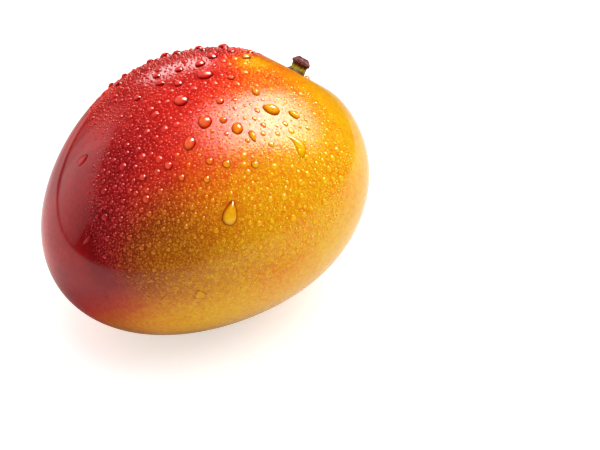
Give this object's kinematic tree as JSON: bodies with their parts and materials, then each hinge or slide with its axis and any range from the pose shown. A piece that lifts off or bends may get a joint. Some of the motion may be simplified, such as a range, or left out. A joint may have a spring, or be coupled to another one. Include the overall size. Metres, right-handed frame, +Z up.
{
  "type": "mango",
  "caption": "Whole ripe mango, crimson to golden, lying on its side with the stub of its stem and drops of water standing on its glossy skin.",
  "frame": {"origin": "middle of the bottom of the bounding box, on the surface that the fruit lies on", "axes": "+X along the fruit's long axis towards the stem end, +Z up, +Y completes a right-handed frame"},
  "size_m": [0.1206, 0.1012, 0.0943],
  "materials": {
    "skin": "waxy glossy mango skin, crimson over the apex end and top, orange to golden yellow towards the stem, fine pale dots, wet",
    "stem": "dry green-brown stalk stub with a mauve-brown knobbly scar",
    "water": "clear drops of water on the skin"
  },
  "bodies": {
    "root": {"fruit": "skin", "stem": "stem"}
  },
  "joints": []
}
